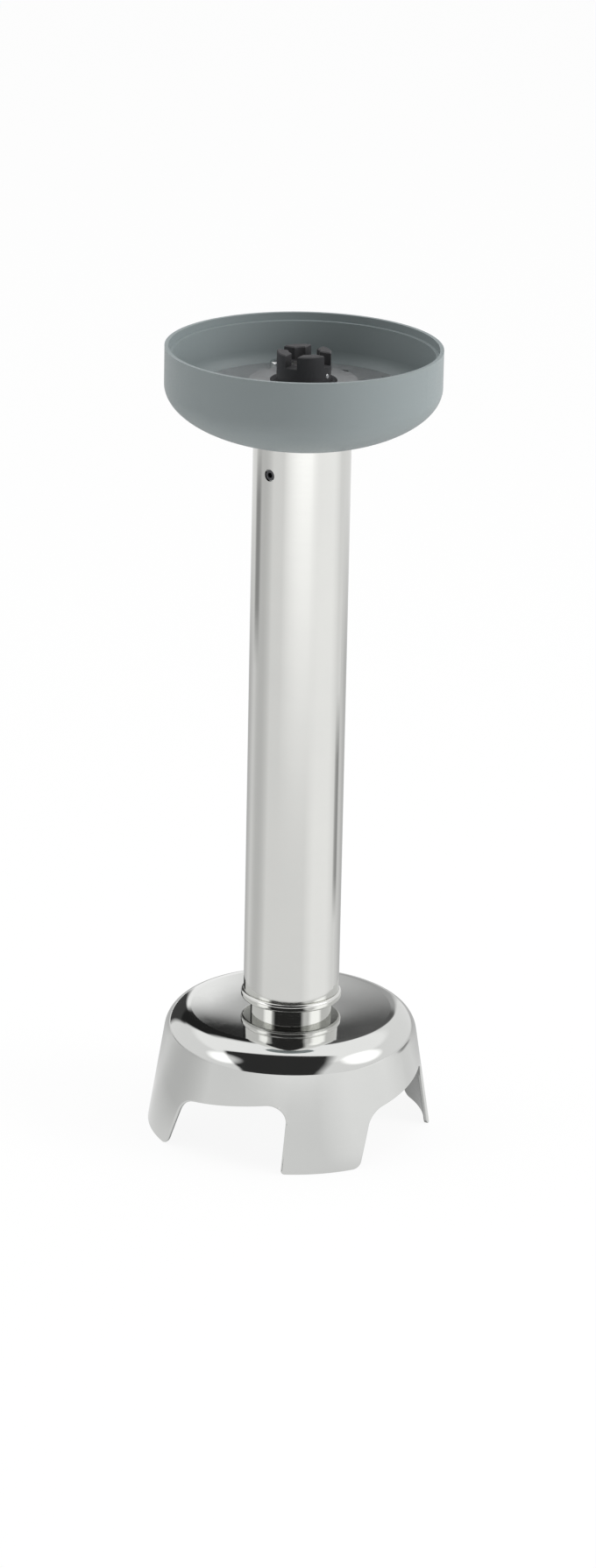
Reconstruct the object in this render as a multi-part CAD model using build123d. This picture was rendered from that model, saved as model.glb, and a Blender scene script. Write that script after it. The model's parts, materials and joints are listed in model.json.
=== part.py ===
from build123d import *
import os
from math import cos, radians, sin, tan

# Stick blender shaft unit, standing on its blade guard. Millimetres, +Z up.
# The origin is on the floor, on the shaft's axis. The guard's windows face +X, +Y, -X and -Y.

# Fits
running_clearance = 0.05      # a turning shaft in its bush
sliding_clearance = 0.05      # a spigot in its tube
seat_clearance = 0.01         # pressed, screwed or clamped seats
gap_clearance = 0.6           # faces that pass without touching
edge_break = 0.4              # chamfer on turned edges
spigot_lead = 1.0             # chamfer on the spigots that enter the tube

# Blade guard, a drawn bell on four swept legs
guard_height = 49.5
guard_wall = 2.0
guard_crown = 2.0             # degrees that the top has fallen where the shoulder starts
guard_seat_margin = 0.5       # flat seat beyond the nut that clamps it
guard_shoulder_radius = 11.0
guard_foot_radius = 56.7
guard_flare = 9.0             # degrees that the skirt leans outwards
guard_edge_round = 0.6        # along the windows and the feet
leg_count = 4
window_straight_side = 24.4   # from the window's middle to its upright side
window_swept_side = 28.7      # from the window's middle to its swept side, at the floor
window_sweep = 20.5           # degrees that the swept side leans
window_low_corner = 21.3      # height of the window's top at the swept side
window_high_corner = 28.1     # height of the window's top at the upright side
window_swept_round = 10.0
window_straight_round = 7.0
leg_swept_round = 4.0         # round on a leg's lower corner
leg_straight_round = 1.5

# Bearing housing, the turned neck between guard and tube
neck_radius = 16.2
neck_height = 4.2
lip_radius = 20.05
lip_height = 3.3
lip_round = 1.2
housing_spigot_height = 20.0
guard_thread_radius = 13.5
guard_thread_length = 9.0
bush_wall = 2.0
bush_length = 12.0
seal_wall = 5.0
seal_height = 5.0
seal_lip_height = 1.6
guard_nut_radius = 19.0
guard_nut_height = 5.5
guard_nut_slot_count = 4
guard_nut_slot_width = 4.0
guard_nut_slot_depth = 2.5

# Tube
tube_radius = 19.05
tube_wall = 1.5
tube_length = 241.0
lock_screw_radius = 2.0
lock_screw_length = 6.0
lock_screw_drop = 24.4        # below the tube's upper end
lock_screw_angle = -12.0      # degrees from -Y towards +X
lock_screw_recess = 0.4       # below the tube's surface
lock_hole_radius = 2.4
oring_section = 2.0
oring_squeeze = 0.3
oring_rounding = 0.45         # corner round of a squeezed ring, as a share of its groove
lower_oring_drop = 9.0        # below the top of the housing's spigot
upper_oring_drop = 11.0       # below the flange

# Mounting flange with its spigot and the upper ball bearing
flange_radius = 42.0
flange_thickness = 6.0
flange_edge_round = 1.0
spigot_length = 40.0
pilot_radius = 21.0
pilot_height = 4.0
motor_bolt_radius = 2.1
motor_bolt_circle = 32.0
cap_screw_radius = 2.0
cap_screw_length = 11.0
cap_screw_circle = 34.0
cap_screw_head_radius = 3.8
cap_screw_head_height = 2.6
cap_screw_hole_radius = 2.4
screw_count = 4
bearing_outer_radius = 13.0
bearing_width = 8.0
bearing_sink = 1.0            # seat's floor below the flange's underside
bearing_shoulder = 2.0        # radial height of the seat's shoulder
ball_radius = 2.38
ball_count = 7
race_gap = 1.7                # from the ball circle to each race's edge
cage_wall = 0.9
cage_height = 6.0
shield_thickness = 0.5
shield_inset = 0.2
circlip_thickness = 1.0
circlip_width = 1.7
circlip_groove = 0.5
circlip_gap = 2.4

# End cap, the moulded bowl round the top of the tube
cap_radius = 53.6
cap_depth = 22.9
cap_rim_height = 14.8         # straight wall above the bowl
cap_wall = 3.0
cap_overlap = 14.7            # bowl's lowest point below the tube's upper end
cap_step_height = 3.0
cap_step_width = 1.5
cap_collar_wall = 3.0
cap_boss_radius = 5.0
cap_rib_count = 8
cap_rib_thickness = 2.0
cap_rib_drop = 1.0            # ribs stop below the flange
cap_seal_width = 2.4
cap_seal_height = 3.4

# Drive shaft, coupling and blade
shaft_radius = 5.0
shaft_collar_radius = 6.8
shaft_collar_length = 7.0
shaft_thread_radius = 4.0
shaft_thread_length = 11.0
coupling_radius = 10.5
coupling_height = 12.5
coupling_rise = 1.0           # above the circlip
coupling_hub_height = 7.5
coupling_socket_radius = 6.0
coupling_slot_width = 5.0
coupling_pin_radius = 1.25
coupling_pin_height = 3.8     # above the coupling's lower end
dog_count = 4
thrust_washer_radius = 8.5
thrust_washer_height = 1.4
blade_spacer_radius = 7.5
blade_spacer_height = 4.8
blade_thickness = 2.0
blade_hub_radius = 10.0
blade_reach = 33.0
blade_width = 14.0
blade_edge = 0.3              # thickness left at the sharpened edge
blade_bevel = 4.0
blade_bend = 12.0             # degrees, up on one pair of wings and down on the other
blade_washer_radius = 8.0
blade_washer_height = 1.5
blade_nut_width = 13.0
blade_nut_height = 6.5
blade_nut_dome_radius = 5.6
nut_chamfer = 30.0            # degrees, on the hexagon's corners

# Heights worked out from the floor upwards
guard_underside = guard_height - guard_wall
housing_bottom = guard_height - guard_thread_length
lip_bottom = guard_height + neck_height
tube_bottom = lip_bottom + lip_height
housing_top = tube_bottom + housing_spigot_height
tube_top = tube_bottom + tube_length
lock_screw_level = tube_top - lock_screw_drop
flange_top = tube_top + flange_thickness
pilot_top = flange_top + pilot_height
bearing_bottom = tube_top - bearing_sink
bearing_top = bearing_bottom + bearing_width
bearing_middle = bearing_bottom + bearing_width / 2
coupling_bottom = bearing_top + circlip_thickness + coupling_rise
coupling_top = coupling_bottom + coupling_height
shaft_top = coupling_bottom + coupling_hub_height
thrust_washer_top = housing_bottom - gap_clearance
blade_spacer_top = thrust_washer_top - thrust_washer_height
blade_top = blade_spacer_top - blade_spacer_height
blade_bottom = blade_top - blade_thickness
blade_washer_bottom = blade_bottom - blade_washer_height
blade_nut_bottom = blade_washer_bottom - blade_nut_height
shaft_bottom = blade_top - shaft_thread_length
cap_bowl_bottom = tube_top - cap_overlap
cap_seal_top = cap_bowl_bottom + cap_seal_height + cap_wall / 2
cap_equator = cap_bowl_bottom + cap_depth
cap_top = cap_equator + cap_rim_height

# Radii worked out from the pieces that meet
tube_bore = tube_radius - tube_wall
spigot_radius = tube_bore - sliding_clearance
bush_bore = shaft_radius + running_clearance
bush_radius = bush_bore + bush_wall
seal_radius = bush_bore + seal_wall
ball_circle = (shaft_radius + bearing_outer_radius) / 2
inner_race_radius = ball_circle - race_gap
outer_race_radius = ball_circle + race_gap
cap_seal_radius = tube_radius + cap_seal_width
oring_groove = oring_section - oring_squeeze


def turned(*corners):
    """Solid turned about the shaft's axis from its (radius, height) corners."""
    return revolve(Plane.XZ * make_face(Polyline(*corners, close=True)), Axis.Z)


def ring(inner, outer, bottom, top):
    return turned((inner, bottom), (outer, bottom), (outer, top), (inner, top))


def bar(radius, bottom, top):
    return Pos(0, 0, bottom) * Cylinder(radius, top - bottom, align=(Align.CENTER, Align.CENTER, Align.MIN))


def around(count, radius, shape, start=0.0):
    """Copies of a shape set on a circle about the shaft's axis."""
    return [Rot(0, 0, start + step * 360 / count) * Pos(radius, 0, 0) * shape for step in range(count)]


def radial_bar(radius, inner, outer, height, angle):
    """Round bar that points outwards at an angle from -Y towards +X."""
    lying = Rot(90, 0, 0) * Pos(0, 0, inner) * Cylinder(
        radius, outer - inner, align=(Align.CENTER, Align.CENTER, Align.MIN)
    )
    return Pos(0, 0, height) * Rot(0, 0, angle) * lying


def rims(solid, radius):
    """Circular edges of a turned solid that lie at one radius."""
    circles = solid.edges().filter_by(GeomType.CIRCLE)
    return [edge for edge in circles if abs(edge.radius - radius) < seat_clearance / 2]


def sleeve(inner, outer, bottom, top):
    """Turned ring with its outer edges chamfered."""
    body = ring(inner, outer, bottom, top)
    return chamfer(rims(body, outer), edge_break)


def guard_window():
    """Cutter for the window that faces +X: an upright side, a sweeping side and a rising top."""
    reach = guard_foot_radius + guard_wall
    corner_side = -window_swept_side + window_low_corner * tan(radians(window_sweep))
    outline = FilletPolyline(
        (-reach, -guard_wall),
        (-reach, 0),
        (-window_swept_side, 0),
        (corner_side, window_low_corner),
        (window_straight_side, window_high_corner),
        (window_straight_side, 0),
        (reach, 0),
        (reach, -guard_wall),
        radius=[0, 0, leg_swept_round, window_swept_round, window_straight_round, leg_straight_round, 0, 0],
        close=True,
    )
    return extrude(Plane.YZ * make_face(outline), reach)


def guard_curves(inset):
    """Crown and shoulder of the guard's section, set in from its outer skin."""
    lean = radians(guard_flare)
    fall = radians(guard_crown)
    crown_start = guard_nut_radius + guard_seat_margin
    shoulder_run = guard_shoulder_radius * (cos(lean) - sin(fall))
    shoulder_drop = guard_shoulder_radius * (cos(fall) - sin(lean))
    skirt_height = guard_height + crown_start * tan(fall / 2) - shoulder_drop
    skirt_radius = guard_foot_radius - shoulder_run - skirt_height * tan(lean)
    crown_end = skirt_radius / (1 - tan(fall / 2) * tan(lean))
    crown_radius = (crown_end - crown_start) / sin(fall)
    crown = JernArc((crown_start, guard_height - inset), (1, 0), crown_radius - inset, -guard_crown)
    shoulder = JernArc(crown @ 1, crown % 1, guard_shoulder_radius - inset, guard_crown + guard_flare - 90)
    return crown, shoulder


def make_blade_guard():
    guard_bore = guard_thread_radius + seat_clearance
    foot_inside = guard_foot_radius - guard_wall / cos(radians(guard_flare))
    crown, shoulder = guard_curves(0)
    inner_crown, inner_shoulder = guard_curves(guard_wall)
    edge = [
        Line((guard_bore, guard_height), crown @ 0),
        crown,
        shoulder,
        Line(shoulder @ 1, (guard_foot_radius, 0)),
        Line((guard_foot_radius, 0), (foot_inside, 0)),
        Line((foot_inside, 0), inner_shoulder @ 1),
        inner_shoulder,
        inner_crown,
        Line(inner_crown @ 0, (guard_bore, guard_underside)),
        Line((guard_bore, guard_underside), (guard_bore, guard_height)),
    ]
    bell = revolve(Plane.XZ * make_face(edge), Axis.Z)
    guard = bell - around(leg_count, 0, guard_window())
    skirt = guard.faces().filter_by(GeomType.CONE)
    rims = [e for e in skirt.edges() if e.bounding_box().max.Z < window_high_corner]
    return fillet(rims, guard_edge_round)


def oring_seat(outer, level):
    """Groove for an O-ring round a spigot, and the ring that lies in it."""
    inner = outer - oring_groove
    bottom = level - oring_section / 2
    top = level + oring_section / 2
    groove = ring(inner, outer + oring_section, bottom, top)
    seal = ring(
        inner + seat_clearance,
        tube_bore - seat_clearance,
        bottom + seat_clearance,
        top - seat_clearance,
    )
    return groove, fillet(seal.edges().filter_by(GeomType.CIRCLE), oring_groove * oring_rounding)


def make_bearing_housing():
    body = turned(
        (seal_radius, housing_bottom),
        (guard_thread_radius, housing_bottom),
        (guard_thread_radius, guard_height),
        (neck_radius, guard_height),
        (neck_radius, lip_bottom),
        (lip_radius, lip_bottom),
        (lip_radius, tube_bottom),
        (spigot_radius, tube_bottom),
        (spigot_radius, housing_top - spigot_lead),
        (spigot_radius - spigot_lead, housing_top),
        (bush_radius, housing_top),
        (bush_radius, housing_bottom + seal_height),
        (seal_radius, housing_bottom + seal_height),
    )
    body = fillet(rims(body, lip_radius), lip_round)
    groove, seal = oring_seat(spigot_radius, housing_top - lower_oring_drop)
    return body - groove, seal


def make_shaft_seal():
    outer = seal_radius - seat_clearance
    top = housing_bottom + seal_height
    web = housing_bottom + seal_lip_height
    return turned(
        (outer, housing_bottom),
        (outer, top),
        (outer - seal_wall / 4, top),
        (outer - seal_wall / 4, web),
        (outer - seal_wall / 2, web),
        (bush_bore + seal_lip_height / 2, top - seal_lip_height / 2),
        (bush_bore, top - seal_lip_height),
        (bush_bore, top - 2 * seal_lip_height),
        (bush_bore + seal_lip_height / 2, housing_bottom),
    )


def make_guard_nut():
    bottom = guard_underside - guard_nut_height
    nut = ring(guard_thread_radius + seat_clearance, guard_nut_radius, bottom, guard_underside)
    nut = chamfer(nut.edges().group_by(Axis.Z)[0], edge_break)
    slot = Box(2 * guard_nut_slot_depth, guard_nut_slot_width, guard_nut_height)
    return nut - around(guard_nut_slot_count, guard_nut_radius, Pos(0, 0, bottom) * slot)


def make_shaft_tube():
    tube = sleeve(tube_bore, tube_radius, tube_bottom, tube_top)
    holes = [
        radial_bar(lock_hole_radius, tube_bore - tube_wall, tube_radius + tube_wall, lock_screw_level, angle)
        for angle in (lock_screw_angle, lock_screw_angle + 180)
    ]
    return tube - holes


def make_lock_screws():
    outer = tube_radius - lock_screw_recess
    socket_radius = lock_screw_radius * 0.6
    screws = []
    for angle in (lock_screw_angle, lock_screw_angle + 180):
        body = radial_bar(lock_screw_radius, outer - lock_screw_length, outer, lock_screw_level, angle)
        hexagon = RegularPolygon(socket_radius, 6)
        socket = extrude(Pos(0, 0, outer) * hexagon, -lock_screw_length / 2)
        screws.append(body - Pos(0, 0, lock_screw_level) * Rot(0, 0, angle) * Rot(90, 0, 0) * socket)
    return Compound(screws)


def make_mounting_flange():
    bearing_seat = bearing_outer_radius
    body = turned(
        (bearing_seat - bearing_shoulder, tube_top - spigot_length),
        (spigot_radius - spigot_lead, tube_top - spigot_length),
        (spigot_radius, tube_top - spigot_length + spigot_lead),
        (spigot_radius, tube_top),
        (flange_radius, tube_top),
        (flange_radius, flange_top),
        (pilot_radius, flange_top),
        (pilot_radius, pilot_top),
        (bearing_seat, pilot_top),
        (bearing_seat, bearing_bottom),
        (bearing_seat - bearing_shoulder, bearing_bottom),
    )
    body = fillet(rims(body, flange_radius), flange_edge_round)
    clip_groove = ring(bearing_seat - bearing_shoulder, bearing_seat + circlip_groove, bearing_top,
                       bearing_top + circlip_thickness + seat_clearance)
    screw_holes = around(screw_count, cap_screw_circle, bar(cap_screw_hole_radius, tube_top, flange_top), 45)
    bolt_holes = around(screw_count, motor_bolt_circle, bar(motor_bolt_radius, tube_top, flange_top))
    lock_holes = [
        radial_bar(lock_screw_radius + seat_clearance, 0, tube_radius, lock_screw_level, angle)
        for angle in (lock_screw_angle, lock_screw_angle + 180)
    ]
    groove, seal = oring_seat(spigot_radius, tube_top - upper_oring_drop)
    return body - clip_groove - screw_holes - bolt_holes - lock_holes - groove, seal


def make_cap_screws():
    shank = bar(cap_screw_radius, flange_top - cap_screw_length, flange_top)
    head = bar(cap_screw_head_radius, flange_top, flange_top + cap_screw_head_height)
    head = fillet(head.edges().group_by(Axis.Z)[-1], cap_screw_head_height / 3)
    slot = Pos(0, 0, flange_top + cap_screw_head_height) * (
        Box(cap_screw_head_radius, cap_screw_radius / 2, cap_screw_head_height)
        + Box(cap_screw_radius / 2, cap_screw_head_radius, cap_screw_head_height)
    )
    return Compound(around(screw_count, cap_screw_circle, shank + head - slot, 45))


def bowl(inset):
    """Solid bowl inside the cap's outer skin, set in from it."""
    radius = cap_radius - inset
    depth = cap_depth - inset
    curve = EllipticalCenterArc((0, cap_equator), radius, depth, start_angle=270, arc_size=90)
    edge = [
        curve,
        Line(curve @ 1, (radius, cap_top)),
        Line((radius, cap_top), (0, cap_top)),
        Line((0, cap_top), curve @ 0),
    ]
    return revolve(Plane.XZ * make_face(edge), Axis.Z)


def make_end_cap():
    collar_bore = tube_radius + sliding_clearance
    collar_radius = collar_bore + cap_collar_wall
    step = bar(cap_radius - cap_wall + cap_step_width, cap_top - cap_step_height, cap_top)
    shell = bowl(0) - bowl(cap_wall) - step
    collar = ring(collar_bore, collar_radius, cap_bowl_bottom, tube_top)
    bosses = around(screw_count, cap_screw_circle, bar(cap_boss_radius, cap_bowl_bottom, tube_top), 45)
    rib_length = cap_radius - collar_bore
    rib_height = tube_top - cap_rib_drop - cap_bowl_bottom
    rib = Box(rib_length, cap_rib_thickness, rib_height, align=(Align.MIN, Align.CENTER, Align.MIN))
    ribs = around(cap_rib_count, collar_bore, Pos(0, 0, cap_bowl_bottom) * rib, 180 / cap_rib_count)
    core = bowl(cap_wall / 2)
    stiffening = collar + bosses + ribs
    pilot_holes = around(
        screw_count,
        cap_screw_circle,
        bar(cap_screw_radius + seat_clearance, flange_top - cap_screw_length - gap_clearance, tube_top),
        45,
    )
    tube_hole = bar(collar_bore, cap_bowl_bottom, tube_top)
    seal_seat = bar(cap_seal_radius + seat_clearance, cap_bowl_bottom, cap_seal_top)
    return shell + (stiffening & core) - pilot_holes - tube_hole - seal_seat


def make_cap_seal():
    bottom = cap_seal_top - cap_seal_height
    return ring(tube_radius + seat_clearance, cap_seal_radius, bottom, cap_seal_top - seat_clearance)


def make_bearing():
    groove = Pos(0, 0, bearing_middle) * Torus(ball_circle, ball_radius + running_clearance)
    race_bore = shaft_radius + seat_clearance
    race_rim = bearing_outer_radius - seat_clearance
    inner_race = ring(race_bore, inner_race_radius, bearing_bottom, bearing_top) - groove
    outer_race = ring(outer_race_radius, race_rim, bearing_bottom, bearing_top) - groove
    balls = around(ball_count, ball_circle, Pos(0, 0, bearing_middle) * Sphere(ball_radius))
    pocket = Rot(0, 90, 0) * Cylinder(ball_radius + running_clearance, 2 * cage_wall)
    pockets = around(ball_count, ball_circle, Pos(0, 0, bearing_middle) * pocket)
    cage = ring(
        ball_circle - cage_wall / 2,
        ball_circle + cage_wall / 2,
        bearing_middle - cage_height / 2,
        bearing_middle + cage_height / 2,
    ) - pockets
    lower = bearing_bottom + shield_inset
    upper = bearing_top - shield_inset - shield_thickness
    shield_bore = inner_race_radius + 2 * running_clearance
    shield_rim = outer_race_radius - seat_clearance
    shields = [ring(shield_bore, shield_rim, level, level + shield_thickness) for level in (lower, upper)]
    inner_race = chamfer(rims(inner_race, race_bore), edge_break)
    outer_race = chamfer(rims(outer_race, race_rim), edge_break)
    return inner_race, outer_race, Compound(balls), cage, Compound(shields)


def circlip(inner, outer, lug_circle):
    """Open spring ring with an eye at each end, standing on the bearing's top."""
    lug_radius = circlip_width * 0.8
    lug_angle = 1.1 * (lug_radius + circlip_gap / 2) / lug_circle
    body = ring(inner, outer, bearing_top, bearing_top + circlip_thickness)
    lugs = []
    eyes = []
    for side in (-lug_angle, lug_angle):
        place = Pos(lug_circle * cos(side), lug_circle * sin(side), 0)
        lugs.append(place * bar(lug_radius, bearing_top, bearing_top + circlip_thickness))
        eyes.append(place * bar(lug_radius / 2, bearing_top, bearing_top + circlip_thickness))
    opening = Box(outer, circlip_gap, circlip_thickness, align=(Align.CENTER, Align.CENTER, Align.MIN))
    return body + lugs - eyes - Pos(lug_circle, 0, bearing_top) * opening


def make_drive_shaft():
    rod = turned(
        (0, shaft_bottom),
        (shaft_thread_radius - edge_break, shaft_bottom),
        (shaft_thread_radius, shaft_bottom + edge_break),
        (shaft_thread_radius, blade_top),
        (shaft_radius, blade_top),
        (shaft_radius, bearing_bottom - shaft_collar_length),
        (shaft_collar_radius, bearing_bottom - shaft_collar_length),
        (shaft_collar_radius, bearing_bottom),
        (shaft_radius, bearing_bottom),
        (shaft_radius, shaft_top - edge_break),
        (shaft_radius - edge_break, shaft_top),
        (0, shaft_top),
    )
    rod = chamfer(rims(rod, shaft_collar_radius), edge_break)
    clip_groove = ring(shaft_radius - circlip_groove, shaft_radius + circlip_width, bearing_top,
                       bearing_top + circlip_thickness + seat_clearance)
    return rod - clip_groove - coupling_pin_hole()


def coupling_pin_hole():
    return Pos(0, 0, coupling_bottom + coupling_pin_height) * Rot(0, 90, 0) * Cylinder(
        coupling_pin_radius + seat_clearance, 3 * coupling_radius
    )


def make_drive_coupling():
    hub = ring(shaft_radius + seat_clearance, coupling_radius, coupling_bottom, shaft_top)
    dogs = ring(coupling_socket_radius, coupling_radius, shaft_top, coupling_top)
    slot_height = coupling_top - shaft_top
    slot = Pos(coupling_radius, 0, shaft_top + slot_height / 2) * Box(
        2 * coupling_radius, coupling_slot_width, slot_height
    )
    hub = chamfer(hub.edges().group_by(Axis.Z)[0], edge_break)
    dogs = dogs - around(dog_count, 0, slot)
    dogs = chamfer(dogs.edges().group_by(Axis.Z)[-1], edge_break)
    return hub + dogs - coupling_pin_hole()


def make_coupling_pin():
    pin = Cylinder(coupling_pin_radius, 2 * coupling_radius)
    pin = chamfer(pin.edges().filter_by(GeomType.CIRCLE), edge_break)
    return Pos(0, 0, coupling_bottom + coupling_pin_height) * Rot(0, 90, 0) * pin


def blade_wing(bend):
    """Wing along +X, sharpened on its leading edge and bent up or down outside the clamped hub."""
    half = blade_width / 2
    section = Polyline(
        (-half, 0),
        (half, 0),
        (half, blade_edge),
        (half - blade_bevel, blade_thickness),
        (-half, blade_thickness),
        close=True,
    )
    blank = extrude(Plane.YZ * make_face(section), blade_reach)
    plan = FilletPolyline(
        (0, -half),
        (blade_reach - half, -half),
        (blade_reach, 0),
        (blade_reach - half, half),
        (0, half),
        radius=[0, half, half / 2, half * 2, 0],
        close=True,
    )
    wing = blank & extrude(make_face(plan), blade_thickness)
    flat = wing & bar(blade_hub_radius + blade_thickness, 0, blade_thickness)
    fold = Pos(blade_hub_radius, 0, 0 if bend > 0 else blade_thickness)
    outer = wing - Box(2 * blade_hub_radius, 2 * blade_width, 4 * blade_thickness)
    return flat + fold * Rot(0, -bend, 0) * fold.inverse() * outer


def make_blade():
    hub = bar(blade_hub_radius, 0, blade_thickness)
    wings = [Rot(0, 0, 45 + 90 * step) * blade_wing(blade_bend * (-1) ** step) for step in range(4)]
    blade = hub + wings - bar(shaft_thread_radius + seat_clearance, -blade_thickness, 2 * blade_thickness)
    return Pos(0, 0, blade_bottom) * blade


def make_blade_nut():
    flat = blade_nut_width / 2
    corner = flat / cos(radians(30))
    corner_drop = (corner - flat) * tan(radians(nut_chamfer))
    hexagon = RegularPolygon(flat, 6, major_radius=False)
    body = extrude(Pos(0, 0, blade_nut_bottom) * hexagon, blade_nut_height) & turned(
        (0, blade_nut_bottom),
        (flat, blade_nut_bottom),
        (corner, blade_nut_bottom + corner_drop),
        (corner, blade_washer_bottom - corner_drop),
        (flat, blade_washer_bottom),
        (0, blade_washer_bottom),
    )
    dome_bottom = blade_nut_bottom - blade_nut_dome_radius
    dome = Pos(0, 0, blade_nut_bottom) * Sphere(blade_nut_dome_radius)
    dome = dome & bar(blade_nut_width, dome_bottom, blade_nut_bottom + blade_nut_height / 2)
    thread = bar(shaft_thread_radius + seat_clearance, shaft_bottom - gap_clearance, blade_washer_bottom)
    return body + dome - thread


bearing_housing, lower_oring = make_bearing_housing()
mounting_flange, upper_oring = make_mounting_flange()
inner_race, outer_race, balls, cage, shields = make_bearing()
lower_bush_bottom = housing_bottom + seal_height + seal_lip_height
bush_rim = bush_radius - seat_clearance
stack_bore = shaft_radius + seat_clearance

nodes = {
    "blade_guard": make_blade_guard(),
    "bearing_housing": bearing_housing,
    "lower_oring": lower_oring,
    "upper_bush": sleeve(bush_bore, bush_rim, housing_top - bush_length, housing_top),
    "lower_bush": sleeve(bush_bore, bush_rim, lower_bush_bottom, lower_bush_bottom + bush_length),
    "shaft_seal": make_shaft_seal(),
    "guard_nut": make_guard_nut(),
    "shaft_tube": make_shaft_tube(),
    "lock_screws": make_lock_screws(),
    "mounting_flange": mounting_flange,
    "upper_oring": upper_oring,
    "cap_screws": make_cap_screws(),
    "end_cap": make_end_cap(),
    "cap_seal": make_cap_seal(),
    "bearing_outer_race": outer_race,
    "bearing_inner_race": inner_race,
    "bearing_balls": balls,
    "bearing_cage": cage,
    "bearing_shields": shields,
    "bearing_circlip": circlip(
        bearing_outer_radius - circlip_width,
        bearing_outer_radius + circlip_groove - running_clearance,
        bearing_outer_radius - circlip_width,
    ),
    "shaft_circlip": circlip(
        shaft_radius - circlip_groove + running_clearance,
        shaft_radius + circlip_width,
        shaft_radius + circlip_width,
    ),
    "drive_shaft": make_drive_shaft(),
    "drive_coupling": make_drive_coupling(),
    "coupling_pin": make_coupling_pin(),
    "thrust_washer": sleeve(stack_bore, thrust_washer_radius, blade_spacer_top, thrust_washer_top),
    "blade_spacer": sleeve(stack_bore, blade_spacer_radius, blade_top, blade_spacer_top),
    "blade": make_blade(),
    "blade_washer": sleeve(
        shaft_thread_radius + seat_clearance, blade_washer_radius, blade_washer_bottom, blade_bottom
    ),
    "blade_nut": make_blade_nut(),
}

os.makedirs("parts", exist_ok=True)
for name, shape in nodes.items():
    export_step(shape, f"parts/{name}.step")
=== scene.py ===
import json
from math import cos, radians, sin

import bpy
from mathutils import Matrix, Vector

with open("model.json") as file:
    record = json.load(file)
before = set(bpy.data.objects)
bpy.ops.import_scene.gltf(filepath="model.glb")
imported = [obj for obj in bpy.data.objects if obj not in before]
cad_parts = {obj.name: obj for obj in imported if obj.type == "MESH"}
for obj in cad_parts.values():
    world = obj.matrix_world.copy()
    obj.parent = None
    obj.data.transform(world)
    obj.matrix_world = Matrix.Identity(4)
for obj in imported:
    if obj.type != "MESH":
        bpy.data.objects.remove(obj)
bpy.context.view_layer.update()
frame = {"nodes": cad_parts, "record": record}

scene = bpy.context.scene
scene.view_settings.view_transform = "Standard"
print("frame loaded:", len(frame["nodes"]), "nodes")


# camera at the photograph's angle
cameraSetup = {
    "azimuth": 28.7,      # degrees from -Y towards +X
    "distance": 2.0,      # along the floor, metres
    "height": 0.853,
    "tiltDown": 19.54,
    "turn": -0.03,
    "roll": 1.19,
    "lens": 123.59,
    "sensor": 36.0,       # on the picture's long side
}


def studioPoint(right, towards, up):    # a place given as the camera sees it
    turn = radians(cameraSetup["azimuth"])
    x = right * cos(turn) + towards * sin(turn)
    y = right * sin(turn) - towards * cos(turn)
    return Vector((x, y, up))


def addCamera(setup):
    data = bpy.data.cameras.new("photoCamera")
    data.sensor_fit = "VERTICAL"
    data.sensor_height = setup["sensor"]
    data.lens = setup["lens"]
    camera = bpy.data.objects.new("photoCamera", data)
    scene.collection.objects.link(camera)
    stand = Matrix.Translation(studioPoint(0, setup["distance"], setup["height"]))
    aim = Matrix.Rotation(radians(setup["azimuth"] + setup["turn"]), 4, "Z")
    tilt = Matrix.Rotation(radians(90 - setup["tiltDown"]), 4, "X")
    roll = Matrix.Rotation(radians(setup["roll"]), 4, "Z")
    camera.matrix_world = stand @ aim @ tilt @ roll
    scene.camera = camera


addCamera(cameraSetup)
print("camera set")


# node helpers; the owner is a material or the world
def addNode(owner, kind, **values):
    node = owner.node_tree.nodes.new(kind)
    for name, value in values.items():
        if name in node.inputs:
            node.inputs[name].default_value = value
        else:
            setattr(node, name, value)
    return node


def join(owner, source, target):
    owner.node_tree.links.new(source, target)


def plug(owner, value, socket):    # a number, vector or colour is set, an output is linked
    if isinstance(value, tuple) and socket.type == "RGBA":
        socket.default_value = (*value, 1)
    elif isinstance(value, (int, float, tuple)):
        socket.default_value = value
    else:
        join(owner, value, socket)


def maths(owner, kind, first, second=0.0):
    node = addNode(owner, "ShaderNodeMath", operation=kind)
    plug(owner, first, node.inputs[0])
    plug(owner, second, node.inputs[1])
    return node.outputs["Value"]


def vectors(owner, kind, first, second=(0, 0, 0)):
    node = addNode(owner, "ShaderNodeVectorMath", operation=kind)
    plug(owner, first, node.inputs[0])
    plug(owner, second, node.inputs[1])
    return node.outputs["Value" if kind in ("DOT_PRODUCT", "LENGTH") else "Vector"]


def fade(owner, first, second, mask):    # first where the mask is 0, second where it is 1
    node = addNode(owner, "ShaderNodeMix")
    plug(owner, mask, node.inputs[0])
    plug(owner, first, node.inputs[2])
    plug(owner, second, node.inputs[3])
    return node.outputs[0]


def spread(owner, source, low, high, start=0.3, end=0.7):    # a pattern's grey stretched to a range
    ramp = addNode(owner, "ShaderNodeMapRange")
    ramp.inputs["From Min"].default_value = start
    ramp.inputs["From Max"].default_value = end
    ramp.inputs["To Min"].default_value = low
    ramp.inputs["To Max"].default_value = high
    join(owner, source, ramp.inputs["Value"])
    return ramp.outputs["Result"]


# finish helpers
waveUnit = 0.314    # metres from ring to ring in Blender's wave texture at scale 1


def newFinish(name, color, metallic, roughness):
    material = bpy.data.materials.new(name)
    material.use_nodes = True
    shader = material.node_tree.nodes["Principled BSDF"]
    shader.inputs["Base Color"].default_value = (*color, 1)
    shader.inputs["Metallic"].default_value = metallic
    shader.inputs["Roughness"].default_value = roughness
    return material, shader


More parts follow.
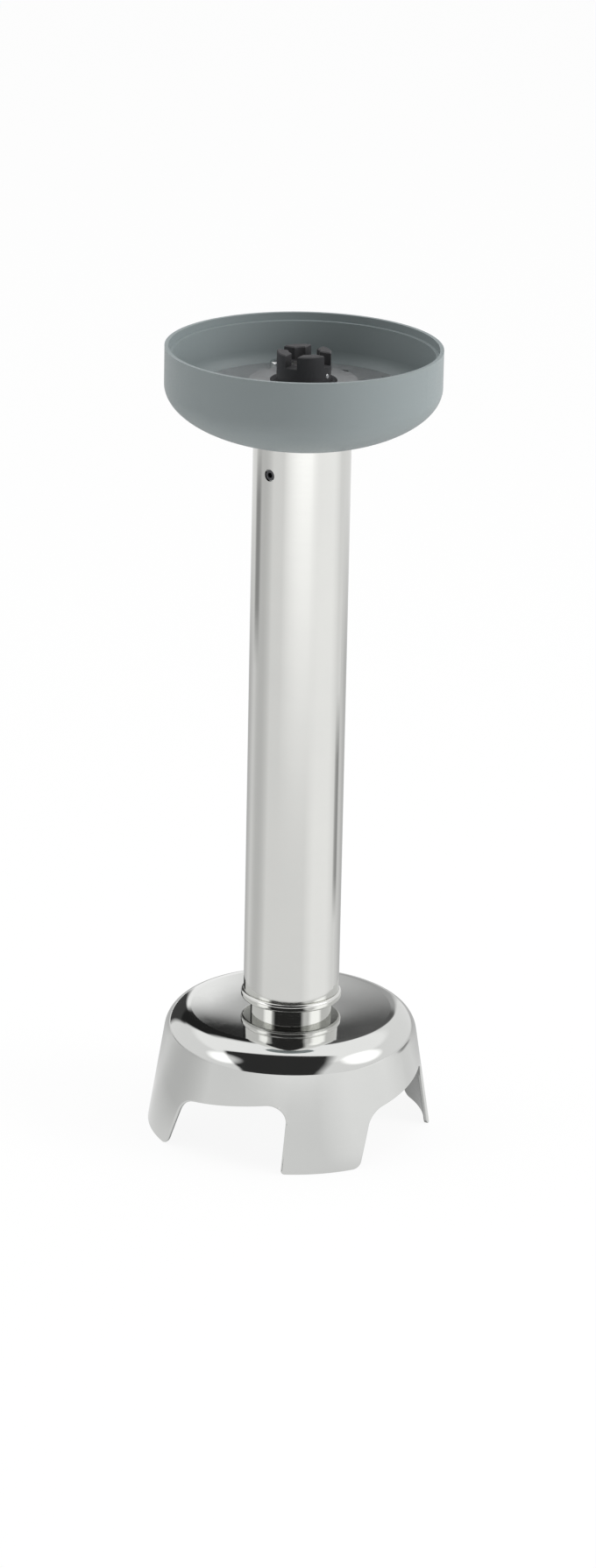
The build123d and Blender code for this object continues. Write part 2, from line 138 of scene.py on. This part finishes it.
def pattern(material, size, squeeze=(1, 1, 1), detail=4.0, rough=0.55):    # squeezed, it draws out across
    place = addNode(material, "ShaderNodeTexCoord")
    mapping = addNode(material, "ShaderNodeMapping", Scale=squeeze)
    noise = addNode(material, "ShaderNodeTexNoise", Scale=1 / size, Detail=detail, Roughness=rough)
    join(material, place.outputs["Object"], mapping.inputs["Vector"])
    join(material, mapping.outputs["Vector"], noise.inputs["Vector"])
    return noise.outputs["Fac"]


def latheLines(material, pitch, wobble=0.4):    # fine rings left by turning, round the shaft's axis
    place = addNode(material, "ShaderNodeTexCoord")
    wave = addNode(material, "ShaderNodeTexWave", wave_type="RINGS", rings_direction="Z",
                   Scale=waveUnit / pitch, Distortion=wobble, Detail=2.0)
    join(material, place.outputs["Object"], wave.inputs["Vector"])
    return wave.outputs["Fac"]


def tint(material, shader, mask, first, second):    # the first colour where the mask is 0
    mix = addNode(material, "ShaderNodeMix", data_type="RGBA")
    colors = [socket for socket in mix.inputs if socket.type == "RGBA"]
    plug(material, first, colors[0])
    plug(material, second, colors[1])
    join(material, mask, mix.inputs[0])
    result = [socket for socket in mix.outputs if socket.type == "RGBA"][0]
    join(material, result, shader.inputs["Base Color"])
    return result


def relief(material, shader, source, depth, strength=1.0, under=None):    # depth in metres
    bump = addNode(material, "ShaderNodeBump", Strength=strength, Distance=depth)
    join(material, source, bump.inputs["Height"])
    if under:    # laid over a broader relief
        join(material, under.outputs["Normal"], bump.inputs["Normal"])
    join(material, bump.outputs["Normal"], shader.inputs["Normal"])
    return bump


# polished steel of the tube and the guard: fine polishing lines, a haze of tone and broad waves
polishGrain = {
    "lines": {"size": 0.02, "squeeze": (1, 1, 14), "detail": 6.0, "rough": 0.7},
    "haze": {"size": 0.03, "detail": 5.0, "rough": 0.6},
    "waves": {"size": 0.035, "squeeze": (1, 1, 0.35), "detail": 1.0, "rough": 0.3},
    "lineDepth": 0.000002,
}
tubePolish = {
    "color": (0.725, 0.725, 0.7), "shade": (0.67, 0.672, 0.655),
    "gloss": (0.03, 0.1), "waveDepth": 0.00001,
}
bellPolish = {
    "color": (0.68, 0.685, 0.67), "shade": (0.62, 0.625, 0.615),
    "gloss": (0.03, 0.09), "waveDepth": 0.00003,
    "crownFrom": (0.037, 0.038),       # above the windows, metres
    "insideFacing": (-0.6, -0.3),      # how far a face looks in or down
    # the inside's colour is painted shade, far darker than the steel itself
    "insideShadeColor": (0.26, 0.265, 0.26), "insideGloss": (0.26, 0.44),
    "insideBrush": {"size": 0.02, "squeeze": (1, 1, 30), "detail": 6.0, "rough": 0.7},
}


def polishedSteel(name, polish):
    material, shader = newFinish(name, polish["color"], 1.0, polish["gloss"][0])
    lines = pattern(material, **polishGrain["lines"])
    haze = pattern(material, **polishGrain["haze"])
    waves = pattern(material, **polishGrain["waves"])
    color = tint(material, shader, haze, polish["color"], polish["shade"])
    gloss = spread(material, lines, *polish["gloss"])
    join(material, gloss, shader.inputs["Roughness"])
    broad = relief(material, shader, waves, polish["waveDepth"])
    relief(material, shader, lines, polishGrain["lineDepth"], under=broad)
    return material, shader, color, gloss, broad


def tubeSteel():
    return polishedSteel("tubeSteel", tubePolish)[0]


def bellSteel():    # polished outside with an even, seamless crown, left dull inside, where faces that look in or down are painted dark as shade
    material, shader, color, gloss, broad = polishedSteel("bellSteel", bellPolish)
    up = (0, 0, 1)
    place = addNode(material, "ShaderNodeTexCoord")
    normal = place.outputs["Normal"]
    level = vectors(material, "MULTIPLY", place.outputs["Object"], (1, 1, 0))
    outward = vectors(material, "NORMALIZE", level)
    lean = vectors(material, "DOT_PRODUCT", normal, outward)
    upright = vectors(material, "MULTIPLY", normal, up)
    even = vectors(material, "ADD", vectors(material, "MULTIPLY", outward, lean), upright)
    height = vectors(material, "DOT_PRODUCT", place.outputs["Object"], up)
    crown = spread(material, height, 0, 1, *bellPolish["crownFrom"])
    change = vectors(material, "MULTIPLY", vectors(material, "SUBTRACT", even, normal), crown)
    join(material, vectors(material, "ADD", normal, change), broad.inputs["Normal"])
    facing = maths(material, "ADD", lean, vectors(material, "DOT_PRODUCT", normal, up))
    # faces that look in or down: a duller gloss, which is real, and a painted shade colour
    dullShadedInside = spread(material, facing, 1, 0, *bellPolish["insideFacing"])
    tint(material, shader, dullShadedInside, color, bellPolish["insideShadeColor"])
    dull = spread(material, pattern(material, **bellPolish["insideBrush"]), *bellPolish["insideGloss"])
    join(material, fade(material, gloss, dull, dullShadedInside), shader.inputs["Roughness"])
    return material


# the other finishes: a cloud mixes two colours, and a grain gives the gloss and the relief
turnedSteel = {
    "color": (0.66, 0.66, 0.64), "shade": (0.55, 0.55, 0.53), "metallic": 1.0,
    "cloud": {"size": 0.012},
    "grain": {"size": 0.03, "squeeze": (1, 1, 60), "detail": 5.0, "rough": 0.7},
    "gloss": (0.2, 0.4), "depth": 0.00001,
}
bladeSteel = {
    "color": (0.74, 0.74, 0.73), "shade": (0.62, 0.62, 0.6), "metallic": 1.0,
    "cloud": {"size": 0.01},
    "grain": {"size": 0.02, "squeeze": (1, 40, 1), "detail": 6.0, "rough": 0.75},
    "gloss": (0.14, 0.34), "depth": 0.000006,
}
platedSteel = {
    "color": (0.74, 0.74, 0.7), "shade": (0.62, 0.65, 0.68), "metallic": 1.0,
    "cloud": {"size": 0.003},
    "grain": {"size": 0.0006},
    "gloss": (0.14, 0.3), "depth": 0.00001,
}
darkSteel = {
    "color": (0.05, 0.05, 0.055), "shade": (0.12, 0.12, 0.125), "metallic": 0.85,
    "cloud": {"size": 0.004},
    "grain": {"size": 0.0008},
    "gloss": (0.3, 0.5), "depth": 0.000012,
}
castAluminium = {
    "color": (0.62, 0.63, 0.64), "shade": (0.5, 0.51, 0.52), "metallic": 1.0,
    "cloud": {"size": 0.02},
    "grain": {"size": 0.0016, "detail": 6.0, "rough": 0.6},
    "gloss": (0.28, 0.48), "depth": 0.00006, "strength": 0.5,
    "lathePitch": 0.0007, "latheDepth": 0.00002,
}
sinteredBronze = {    # its pores give the colour too
    "color": (0.42, 0.27, 0.12), "shade": (0.68, 0.46, 0.22), "metallic": 1.0,
    "grain": {"size": 0.0006, "detail": 5.0, "rough": 0.7},
    "gloss": (0.5, 0.3), "depth": 0.00002,
}
greyPlastic = {
    "color": (0.242, 0.278, 0.283), "shade": (0.225, 0.259, 0.265), "metallic": 0.0,
    "cloud": {"size": 0.05, "squeeze": (1, 1, 0.4), "detail": 3.0},
    "grain": {"size": 0.0007, "detail": 3.0, "rough": 0.6},
    "gloss": (0.36, 0.5), "depth": 0.00003, "strength": 0.6,
}
blackNylon = {    # its fibres give the colour too
    "color": (0.022, 0.022, 0.024), "shade": (0.05, 0.05, 0.053), "metallic": 0.0,
    "grain": {"size": 0.0009, "squeeze": (3, 1, 1), "detail": 5.0, "rough": 0.7},
    "gloss": (0.42, 0.62), "depth": 0.00002,
}
blackRubber = {
    "color": (0.016, 0.016, 0.016), "shade": (0.035, 0.035, 0.034), "metallic": 0.0,
    "cloud": {"size": 0.006},
    "grain": {"size": 0.0008, "rough": 0.6},
    "gloss": (0.6, 0.82), "depth": 0.00002,
}
bearingSteel = {
    "color": (0.66, 0.66, 0.67), "shade": (0.56, 0.56, 0.57), "metallic": 1.0,
    "cloud": {"size": 0.004},
    "lathePitch": 0.0003, "latheDepth": 0.000002,
    "gloss": (0.08, 0.2),
}


def grainFinish(name, setup):
    material, shader = newFinish(name, setup["color"], setup["metallic"], setup["gloss"][0])
    grain = pattern(material, **setup["grain"])
    cloud = pattern(material, **setup["cloud"]) if "cloud" in setup else grain
    tint(material, shader, cloud, setup["color"], setup["shade"])
    join(material, spread(material, grain, *setup["gloss"]), shader.inputs["Roughness"])
    skin = relief(material, shader, grain, setup["depth"], setup.get("strength", 1.0))
    if "lathePitch" in setup:
        lines = latheLines(material, setup["lathePitch"])
        relief(material, shader, lines, setup["latheDepth"], under=skin)
    return material


def groundFinish(name, setup):    # gloss and relief both follow the lathe's lines
    material, shader = newFinish(name, setup["color"], setup["metallic"], setup["gloss"][0])
    lines = latheLines(material, setup["lathePitch"])
    tint(material, shader, pattern(material, **setup["cloud"]), setup["color"], setup["shade"])
    join(material, spread(material, lines, *setup["gloss"], 0, 1), shader.inputs["Roughness"])
    relief(material, shader, lines, setup["latheDepth"])
    return material


finishes = {    # by the record's material slots
    "polished_steel": tubeSteel(),
    "turned_steel": grainFinish("turnedSteel", turnedSteel),
    "blade_steel": grainFinish("bladeSteel", bladeSteel),
    "bearing_steel": groundFinish("bearingSteel", bearingSteel),
    "plated_steel": grainFinish("platedSteel", platedSteel),
    "dark_steel": grainFinish("darkSteel", darkSteel),
    "cast_aluminium": grainFinish("castAluminium", castAluminium),
    "bronze": grainFinish("sinteredBronze", sinteredBronze),
    "grey_plastic": grainFinish("greyPlastic", greyPlastic),
    "nylon": grainFinish("blackNylon", blackNylon),
    "black_rubber": grainFinish("blackRubber", blackRubber),
}

for part in frame["record"]["subparts"]:
    node = frame["nodes"][part["node"]]
    node.data.materials.clear()
    node.data.materials.append(finishes[part["material_slot"]])
frame["nodes"]["blade_guard"].data.materials[0] = bellSteel()
print("finishes set:", len(finishes) + 1)    # with the guard's own


# studio helpers
def along(owner, place, direction):
    return vectors(owner, "DOT_PRODUCT", place, tuple(direction.normalized()))


def within(owner, source, function, angles):    # 0 at the first angle, 1 at the second
    low, high = [function(radians(angle)) for angle in angles]
    return spread(owner, source, 0, 1, low, high)


# pale floor that shows white and keeps a light shadow; in the metal alone it shows painted reflections,
# soft patches of dark and bright tone that the floor itself doesn't have
floorSetup = {
    "size": 8.0,
    "color": (0.9, 0.9, 0.895),
    "roughness": 0.9,
    "white": 0.92,        # share of plain white, the rest is shaded
    "paintedReflection": 0.86,     # tone of the painted reflection in the metal outside the patches
    "paintedPatches": [    # painted reflections, seen only in the metal: angle from the camera's side and degrees each way; distances where it fades in and out
        {"angle": 10, "half": (52, 5), "near": (0.2, 0.35), "far": (1.6, 1.4), "tones": (0.88, 1.78)},
        {"angle": 65, "half": (42, 18), "near": (0.03, 0.1), "far": (1.6, 1.4), "tones": (1.04, 1.12)},
        {"angle": -97, "half": (30, 5), "near": (0.05, 0.12), "far": (1.2, 1.0), "tones": (0.62, 0.6)},
        {"angle": -118, "half": (14, 5), "near": (0.6, 0.7), "far": (1.05, 0.9), "tones": (0.27, 0.27)},
        {"angle": 117, "half": (13, 5), "near": (0.24, 0.3), "far": (0.56, 0.46), "tones": (0.28, 0.28)},
        {"angle": 180, "half": (60, 30), "near": (0.03, 0.06), "far": (0.9, 0.6), "tones": (0.5, 0.5)},
        {"angle": 0, "half": (24, 18), "near": (1.05, 1.3), "far": (4.4, 4.2), "tones": (0.04, 0.04)},
    ],
}


# painted reflections: the tones that glossy and transmission rays get from the floor, which the camera
# never sees on it
def paintedReflectionTone(material, setup):
    place = addNode(material, "ShaderNodeTexCoord").outputs["Object"]
    distance = vectors(material, "LENGTH", place)
    heading = vectors(material, "NORMALIZE", place)
    tone = setup["paintedReflection"]
    for patch in setup["paintedPatches"]:
        turn = radians(patch["angle"])
        facing = along(material, heading, studioPoint(sin(turn), cos(turn), 0))
        mask = within(material, facing, cos, patch["half"])
        mask = maths(material, "MULTIPLY", mask, spread(material, distance, 0, 1, *patch["near"]))
        mask = maths(material, "MULTIPLY", mask, spread(material, distance, 0, 1, *patch["far"]))
        level = spread(material, distance, *patch["tones"], patch["near"][1], patch["far"][1])
        tone = fade(material, tone, level, mask)
    return tone


def addFloor(setup):
    bpy.ops.object.select_all(action="DESELECT")
    bpy.ops.mesh.primitive_plane_add(size=setup["size"], location=(0, 0, 0))
    floor = bpy.context.object
    floor.name = "floor"
    material, shader = newFinish("floorPaint", setup["color"], 0.0, setup["roughness"])
    shader.inputs["Specular IOR Level"].default_value = 0.0
    path = addNode(material, "ShaderNodeLightPath").outputs
    # glossy and transmission rays get the painted reflection tone in place of white
    paintedReflection = maths(material, "MAXIMUM", path["Is Glossy Ray"], path["Is Transmission Ray"])
    seen = maths(material, "MAXIMUM", path["Is Camera Ray"], paintedReflection)
    glow = addNode(material, "ShaderNodeEmission")
    join(material, fade(material, 1.0, paintedReflectionTone(material, setup), paintedReflection), glow.inputs["Strength"])
    mix = addNode(material, "ShaderNodeMixShader")
    join(material, maths(material, "MULTIPLY", seen, setup["white"]), mix.inputs[0])
    join(material, shader.outputs["BSDF"], mix.inputs[1])
    join(material, glow.outputs["Emission"], mix.inputs[2])
    sides = addNode(material, "ShaderNodeNewGeometry").outputs
    clear = addNode(material, "ShaderNodeBsdfTransparent").outputs
    oneSided = addNode(material, "ShaderNodeMixShader")    # open from below, so the blade can be looked at
    join(material, sides["Backfacing"], oneSided.inputs[0])
    join(material, mix.outputs["Shader"], oneSided.inputs[1])
    join(material, clear["BSDF"], oneSided.inputs[2])
    output = material.node_tree.nodes["Material Output"]
    join(material, oneSided.outputs["Shader"], output.inputs["Surface"])
    floor.data.materials.append(material)


addFloor(floorSetup)

# soft room: white walls, darker panels on the wall behind and a dark card on the camera's side
roomSetup = {
    "light": 0.95,
    "ceiling": 1.15,
    "ceilingStart": (34.0, 40.0),    # degrees over the floor
    "wallBehind": (75.0, 70.0),      # degrees each way from straight behind
    "panels": [    # degrees from the middle and over the floor, each edge given as its outside and inside
        {"left": (-11, -8), "right": (2.5, -2), "low": (-30, -20), "high": (30, 27), "tone": 1.12},
        {"left": (-2, 2.5), "right": (13, 9), "low": (-30, -20), "high": (30, 27), "tone": 0.45},
        {"left": (-38, -32), "right": (-8, -11), "low": (-6, -2), "high": (30, 27), "tone": 0.06},
        {"left": (-36, -30), "right": (13, 9), "low": (21.4, 23.8), "high": (52, 44), "tone": 0.02},
        {"left": (-2, 2.5), "right": (13, 9), "low": (20, 24), "high": (50, 42), "tone": 0.12},
    ],
    "cardTone": 0.035,
    "cardEdges": [    # directions into the card from its left, right, upper and lower edge
        {"into": (0.64, 0.58, 0.5), "soft": 0.03},
        {"into": (-0.85, 0.4, 0.33), "soft": 0.08},
        {"into": (-0.1, 0.99, -0.22), "soft": 0.03},
        {"into": (0, 0.03, 1), "soft": 0.015},
    ],
    "glows": [    # soft boxes as the metal sees them, degrees from their middle
        {"place": (1.3, 0.35, 0.7), "edge": (22.0, 12.0), "gain": 0.9},
        {"place": (-1.2, 0.55, 0.62), "edge": (19.0, 9.0), "gain": 0.8},
    ],
}


def roomTone(world, setup):
    place = addNode(world, "ShaderNodeTexCoord").outputs["Generated"]
    height = along(world, place, Vector((0, 0, 1)))
    rest = maths(world, "SUBTRACT", 1.001, maths(world, "MULTIPLY", height, height))    # never quite 0
    level = maths(world, "SQRT", rest)
    side = maths(world, "DIVIDE", along(world, place, studioPoint(1, 0, 0)), level)
    rear = maths(world, "DIVIDE", along(world, place, studioPoint(0, -1, 0)), level)
    behind = within(world, rear, cos, setup["wallBehind"])
    overhead = within(world, height, sin, setup["ceilingStart"])
    tone = fade(world, setup["light"], setup["ceiling"], overhead)
    for panel in setup["panels"]:
        mask = behind
        for source, edge in ((side, "left"), (side, "right"), (height, "low"), (height, "high")):
            mask = maths(world, "MULTIPLY", mask, within(world, source, sin, panel[edge]))
        tone = fade(world, tone, panel["tone"], mask)
    card = 1.0
    for edge in setup["cardEdges"]:
        reach = along(world, place, studioPoint(*edge["into"]))
        card = maths(world, "MULTIPLY", card, spread(world, reach, 0, 1, -edge["soft"], edge["soft"]))
    tone = fade(world, tone, setup["cardTone"], card)
    for glow in setup["glows"]:
        spot = within(world, along(world, place, studioPoint(*glow["place"])), cos, glow["edge"])
        tone = maths(world, "ADD", tone, maths(world, "MULTIPLY", spot, glow["gain"]))
    return tone


def addRoom(setup):
    world = bpy.data.worlds.new("studioRoom")
    world.use_nodes = True
    scene.world = world
    world.node_tree.nodes.clear()
    room = addNode(world, "ShaderNodeBackground")
    join(world, roomTone(world, setup), room.inputs["Color"])
    white = addNode(world, "ShaderNodeBackground", Color=(1, 1, 1, 1))    # what the camera itself sees
    path = addNode(world, "ShaderNodeLightPath")
    pick = addNode(world, "ShaderNodeMixShader")
    join(world, path.outputs["Is Camera Ray"], pick.inputs[0])
    join(world, room.outputs["Background"], pick.inputs[1])
    join(world, white.outputs["Background"], pick.inputs[2])
    output = addNode(world, "ShaderNodeOutputWorld")
    join(world, pick.outputs["Shader"], output.inputs["Surface"])


addRoom(roomSetup)

# two soft boxes, aimed at the middle of the shaft
lampAim = Vector((0, 0, 0.15))
lampSetup = [
    {"name": "topBox", "place": (-0.3, 0.2, 1.8), "size": 1.2, "power": 9.0},
    {"name": "rightBox", "place": (1.3, 0.35, 0.75), "size": 0.7, "power": 9.0},
]


def addLamp(setup):
    data = bpy.data.lights.new(setup["name"], "AREA")
    data.size = setup["size"]
    data.energy = setup["power"]
    lamp = bpy.data.objects.new(setup["name"], data)
    scene.collection.objects.link(lamp)
    lamp.visible_glossy = False
    lamp.location = studioPoint(*setup["place"])
    lamp.rotation_euler = (lampAim - lamp.location).to_track_quat("-Z", "Y").to_euler()


for setup in lampSetup:
    addLamp(setup)
print("studio set")
